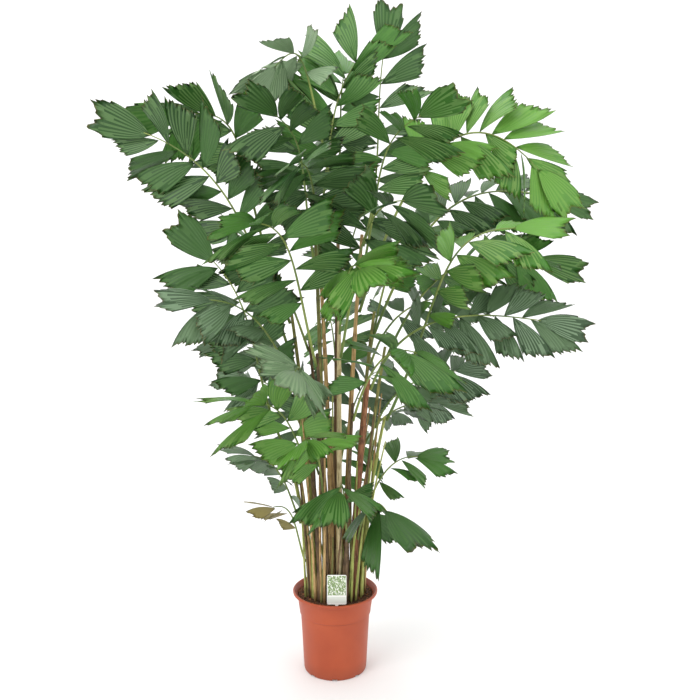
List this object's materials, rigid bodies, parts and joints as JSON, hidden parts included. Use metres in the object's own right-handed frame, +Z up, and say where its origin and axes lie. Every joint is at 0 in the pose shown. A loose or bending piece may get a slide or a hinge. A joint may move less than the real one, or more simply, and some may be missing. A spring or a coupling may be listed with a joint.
{
  "type": "potted fishtail palm",
  "caption": "Clump-forming fishtail palm in a tapered nursery pot, slender sheathed stems under a full crown of fronds with wedge-shaped leaflets.",
  "frame": {"origin": "centre of the pot's flat underside", "axes": "+Z up along the plant, -Y towards the front with the label, +X to the plant's right as seen from the front"},
  "size_m": [1.6058, 1.236, 2.0664],
  "materials": {
    "pot": "satin moulded terracotta plastic",
    "soil": "moist bark and coir potting soil",
    "label": "printed plastic card",
    "bark_cream": "sheathed palm stem",
    "bark_dark_brown": "sheathed palm stem",
    "bark_olive": "sheathed palm stem",
    "bark_red_brown": "sheathed palm stem",
    "bark_tan": "sheathed palm stem",
    "bark_yellow_green": "sheathed palm stem",
    "leaf_deep": "leathery leaf",
    "leaf_dull": "leathery leaf",
    "leaf_fresh": "leathery leaf",
    "leaf_grey": "leathery leaf",
    "leaf_mid": "leathery leaf",
    "leaf_pale": "leathery leaf"
  },
  "bodies": {
    "root": {"pot": "pot", "soil": "soil", "label": "label", "stem_left_outer": "bark_yellow_green", "stem_left_front": "bark_yellow_green", "stem_left_dark": "bark_dark_brown", "stem_front_brown": "bark_dark_brown", "stem_tan": "bark_tan", "stem_cream": "bark_cream", "stem_right_front": "bark_dark_brown", "stem_red": "bark_red_brown", "stem_right_outer": "bark_yellow_green", "stem_right": "bark_olive", "stem_right_back": "bark_olive", "stem_tall_right": "bark_tan", "stem_tall_mid": "bark_dark_brown", "stem_tall_left": "bark_olive", "stem_left_back": "bark_olive", "stem_back_left": "bark_dark_brown", "stem_back": "bark_tan", "frond_left_crest": "leaf_mid", "frond_left_high": "leaf_deep", "frond_left_arch": "leaf_deep", "frond_left_mid": "leaf_grey", "frond_left_fine": "leaf_grey", "frond_left_broad": "leaf_fresh", "frond_left_low": "leaf_grey", "frond_left_dry": "leaf_dull", "frond_top": "leaf_mid", "frond_top_left": "leaf_pale", "frond_top_right": "leaf_deep", "frond_top_back": "leaf_mid", "frond_top_front": "leaf_deep", "frond_top_side": "leaf_mid", "frond_crown_front": "leaf_deep", "frond_right_crest": "leaf_fresh", "frond_right_dark": "leaf_deep", "frond_right_bright": "leaf_fresh", "frond_right_mid": "leaf_mid", "frond_right_long": "leaf_grey", "frond_right_rear": "leaf_grey", "frond_right_fine": "leaf_grey", "frond_right_small": "leaf_grey", "frond_right_low": "leaf_mid", "frond_right_hang": "leaf_deep", "frond_front_right": "leaf_mid", "frond_front_mid": "leaf_fresh", "frond_front_left": "leaf_mid", "frond_front_pale": "leaf_pale", "frond_front_low": "leaf_fresh", "frond_front_hang": "leaf_mid", "frond_front_high": "leaf_deep", "frond_back_high": "leaf_deep", "frond_back_left": "leaf_mid", "frond_back_mid": "leaf_deep", "frond_back_right": "leaf_mid", "frond_back_low_left": "leaf_grey", "frond_back_low": "leaf_mid", "frond_back_low_right": "leaf_grey", "frond_back_foot": "leaf_mid"}
  },
  "joints": []
}
